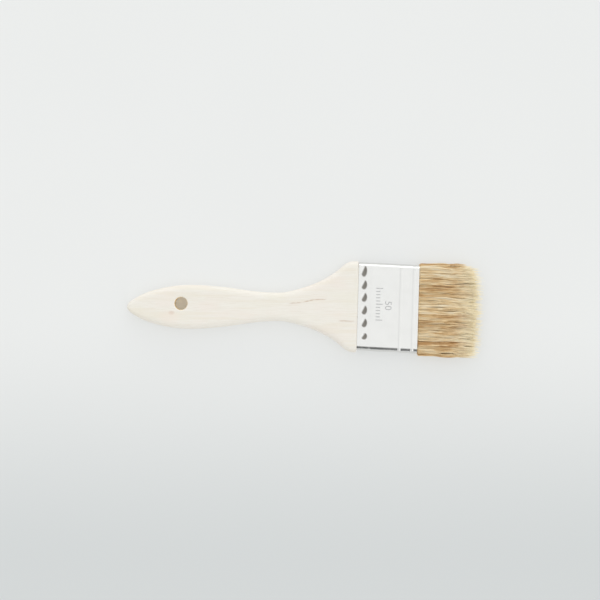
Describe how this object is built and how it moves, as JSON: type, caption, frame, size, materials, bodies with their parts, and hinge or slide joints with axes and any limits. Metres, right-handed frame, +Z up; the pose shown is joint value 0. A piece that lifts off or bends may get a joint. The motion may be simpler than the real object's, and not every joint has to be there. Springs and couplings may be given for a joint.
{
  "type": "flat pastry brush",
  "caption": "Flat brush: a pale wooden beavertail handle with a hang hole, a flat tinned-steel ferrule staked on with a row of dents, and natural bristle that springs back when bent.",
  "frame": {"origin": "centre of the brush's bounding box in X and Y, on the plane it lies on", "axes": "+X from the handle's tip to the bristle tips, +Y across the bristles' width, +Z up through the thickness with the brush lying flat"},
  "size_m": [0.2032, 0.0538, 0.0092],
  "materials": {
    "handle_wood": "sanded smooth, unvarnished",
    "tinned_steel": "bright tinplate with a satin reflection",
    "resin": "cured epoxy, amber",
    "plug_wood": "sawn, raw",
    "bristle": "natural blond hog bristle with pale flagged tips"
  },
  "bodies": {
    "handle_and_ferrule": {"handle": "handle_wood", "ferrule": "tinned_steel", "resin_heel": "resin", "spacer_plug": "plug_wood", "bristle_butts_upper": "bristle", "bristle_butts_lower": "bristle"},
    "belly": {"bristle_belly": "bristle"},
    "tips": {"bristle_tips": "bristle"}
  },
  "joints": [
    {"name": "belly_bend", "type": "hinge", "parent": "handle_and_ferrule", "child": "belly", "pos_m": [0.0682, -0.00012, 0.0046], "axis": [0.0297, 0.9996, 0], "range_deg": [-30, 30], "stiffness_Nm_per_rad": 0.04},
    {"name": "tip_bend", "type": "hinge", "parent": "belly", "child": "tips", "pos_m": [0.08279, -0.00056, 0.0046], "axis": [0.0297, 0.9996, 0], "range_deg": [-30, 30], "stiffness_Nm_per_rad": 0.04}
  ]
}
